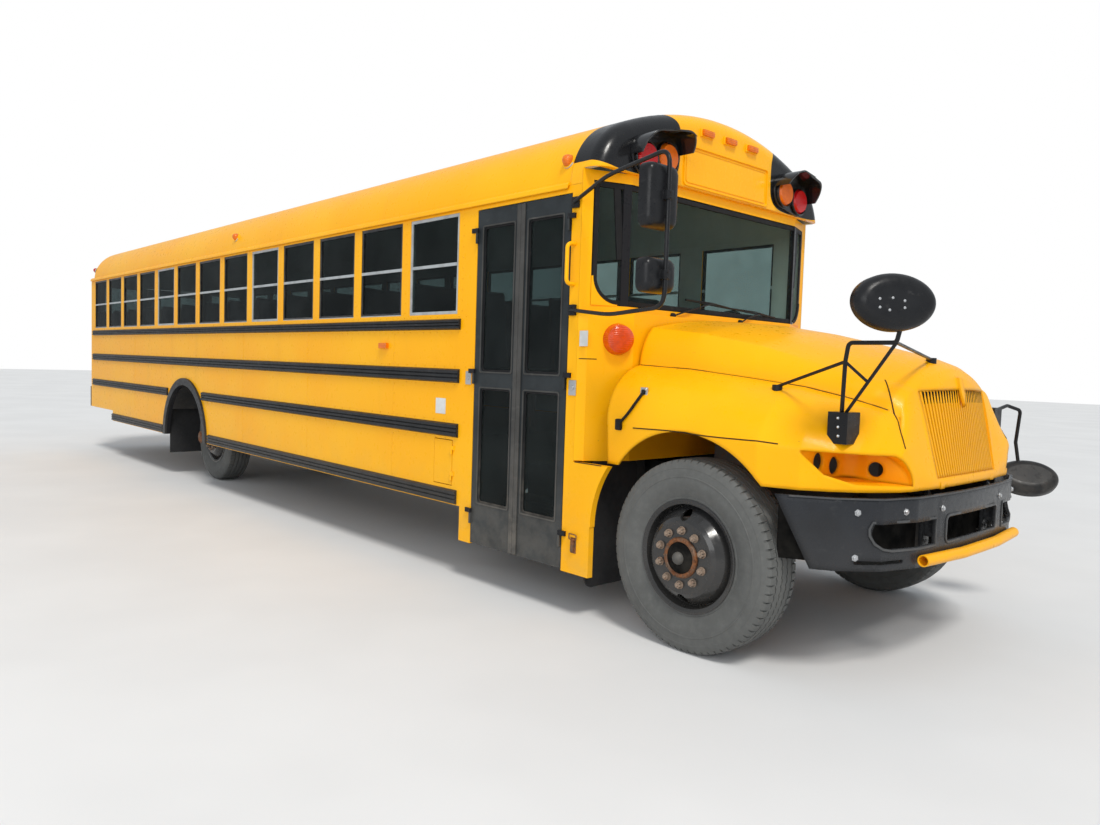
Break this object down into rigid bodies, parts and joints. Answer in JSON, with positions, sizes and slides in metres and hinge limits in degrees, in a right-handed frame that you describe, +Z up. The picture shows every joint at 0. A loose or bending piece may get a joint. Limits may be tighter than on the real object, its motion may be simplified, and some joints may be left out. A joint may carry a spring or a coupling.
{
  "type": "school bus",
  "caption": "Conventional school bus with a tilting hood, folding entrance door, rear emergency door, stop arm, ribbed rub rails and benches behind sliding windows.",
  "frame": {"origin": "on the ground under the middle of the vehicle's overall box", "axes": "+X forward along the vehicle, +Y to the driver's side (left), +Z up"},
  "size_m": [12.58, 3.12, 3.1448],
  "materials": {
    "yellow_paint": "gloss",
    "black_paint": "satin",
    "black_rail": "satin",
    "chassis_paint": "dull",
    "engine_iron": "dull",
    "spring_steel": "rough",
    "silencer_steel": "dull",
    "wheel_paint": "satin",
    "tyre_rubber": "matte",
    "flap_rubber": "matte",
    "floor_rubber": "matte",
    "window_aluminium": "anodised",
    "clear_glass": "clear",
    "door_glass": "clear",
    "black_plastic": "satin",
    "grey_plastic": "matte",
    "red_lens": "gloss",
    "amber_lens": "gloss",
    "seat_vinyl": "satin",
    "stop_red": "gloss",
    "handle_yellow": "gloss"
  },
  "bodies": {
    "body": {"arch_flares": "black_rail", "bench_backs": "seat_vinyl", "bench_cushions": "seat_vinyl", "cowl": "yellow_paint", "crossing_arm_stub": "handle_yellow", "dashboard": "grey_plastic", "driver_seat": "seat_vinyl", "driveshaft": "chassis_paint", "engine_block": "engine_iron", "exhaust": "silencer_steel", "floor": "floor_rubber", "frame_rails": "chassis_paint", "front_axle": "chassis_paint", "front_bumper": "black_paint", "front_cap": "yellow_paint", "fuel_tank": "chassis_paint", "grab_handle": "handle_yellow", "lamp_visors": "black_plastic", "leaf_springs": "spring_steel", "left_wall": "yellow_paint", "marker_lamps": "amber_lens", "mudflaps": "flap_rubber", "rear_axle": "chassis_paint", "rear_bumper": "black_paint", "rear_lamps": "red_lens", "rear_wall": "yellow_paint", "right_wall": "yellow_paint", "roof": "yellow_paint", "rub_rails": "black_rail", "side_mirrors": "black_plastic", "step_well": "floor_rubber", "stop_arm_box": "black_plastic", "warning_lamps": "red_lens", "wheel_housings": "chassis_paint", "window_frames": "window_aluminium", "window_glass": "clear_glass", "windshield": "clear_glass", "wipers": "black_plastic"},
    "hood": {"hood": "yellow_paint", "grille": "yellow_paint", "crossview_mirrors": "black_plastic"},
    "right_knuckle": {"right_knuckle": "chassis_paint"},
    "left_knuckle": {"left_knuckle": "chassis_paint"},
    "front_right_wheel": {"front_right_rim": "wheel_paint", "front_right_tyre": "tyre_rubber"},
    "front_left_wheel": {"front_left_rim": "wheel_paint", "front_left_tyre": "tyre_rubber"},
    "rear_right_wheel": {"rear_right_rim": "wheel_paint", "rear_right_tyre": "tyre_rubber"},
    "rear_left_wheels": {"rear_left_rim": "wheel_paint", "rear_left_tyre": "tyre_rubber"},
    "entry_door_front": {"entry_door_front": "black_paint", "entry_door_front_glass": "door_glass"},
    "entry_door_rear": {"entry_door_rear": "black_paint", "entry_door_rear_glass": "door_glass"},
    "rear_door": {"rear_door": "yellow_paint", "rear_door_glass": "clear_glass"},
    "stop_arm": {"stop_arm": "stop_red"},
    "steering_wheel": {"steering_wheel": "black_plastic"},
    "fuel_door": {"fuel_door": "yellow_paint"}
  },
  "joints": [
    {"name": "steer_right", "type": "hinge", "parent": "body", "child": "right_knuckle", "pos_m": [5.14, -0.86, 0.515], "axis": [0, 0, 1], "range_deg": [-38, 38]},
    {"name": "steer_left", "type": "hinge", "parent": "body", "child": "left_knuckle", "pos_m": [5.14, 0.86, 0.515], "axis": [0, 0, 1], "range_deg": [-38, 38]},
    {"name": "steering_wheel_turn", "type": "hinge", "parent": "body", "child": "steering_wheel", "pos_m": [4.01, 0.56, 1.79], "axis": [-0.6426, 0, 0.7662], "range_deg": [-570, 570]},
    {"name": "front_right_spin", "type": "hinge", "parent": "right_knuckle", "child": "front_right_wheel", "pos_m": [5.14, -1.03, 0.515], "axis": [0, 1, 0], "continuous": true},
    {"name": "front_left_spin", "type": "hinge", "parent": "left_knuckle", "child": "front_left_wheel", "pos_m": [5.14, 1.03, 0.515], "axis": [0, 1, 0], "continuous": true},
    {"name": "rear_right_spin", "type": "hinge", "parent": "body", "child": "rear_right_wheel", "pos_m": [-2.15, -0.745, 0.515], "axis": [0, 1, 0], "continuous": true},
    {"name": "rear_left_spin", "type": "hinge", "parent": "body", "child": "rear_left_wheels", "pos_m": [-2.15, 0.905, 0.515], "axis": [0, 1, 0], "continuous": true},
    {"name": "hood_tilt", "type": "hinge", "parent": "body", "child": "hood", "pos_m": [6.065, 0, 0.95], "axis": [0, 1, 0], "range_deg": [0, 60]},
    {"name": "entry_door_front_swing", "type": "hinge", "parent": "body", "child": "entry_door_front", "pos_m": [4.251, -1.233, 1.39], "axis": [0, 0, 1], "range_deg": [0, 90]},
    {"name": "entry_door_rear_swing", "type": "hinge", "parent": "body", "child": "entry_door_rear", "pos_m": [3.374, -1.233, 1.39], "axis": [0, 0, 1], "range_deg": [-90, 0]},
    {"name": "rear_door_swing", "type": "hinge", "parent": "body", "child": "rear_door", "pos_m": [-6.196, -0.422, 1.72], "axis": [0, 0, 1], "range_deg": [0, 110]},
    {"name": "stop_arm_swing", "type": "hinge", "parent": "body", "child": "stop_arm", "pos_m": [2.99, 1.271, 1.58], "axis": [0, 0, -1], "range_deg": [0, 90]},
    {"name": "fuel_door_swing", "type": "hinge", "parent": "body", "child": "fuel_door", "pos_m": [3.137, -1.227, 0.795], "axis": [0, 0, 1], "range_deg": [0, 100]}
  ],
  "couplings": [
    {"joint": "steer_left", "follows": "steer_right", "ratio": 1},
    {"joint": "steering_wheel_turn", "follows": "steer_right", "ratio": 15},
    {"joint": "entry_door_rear_swing", "follows": "entry_door_front_swing", "ratio": -1}
  ]
}
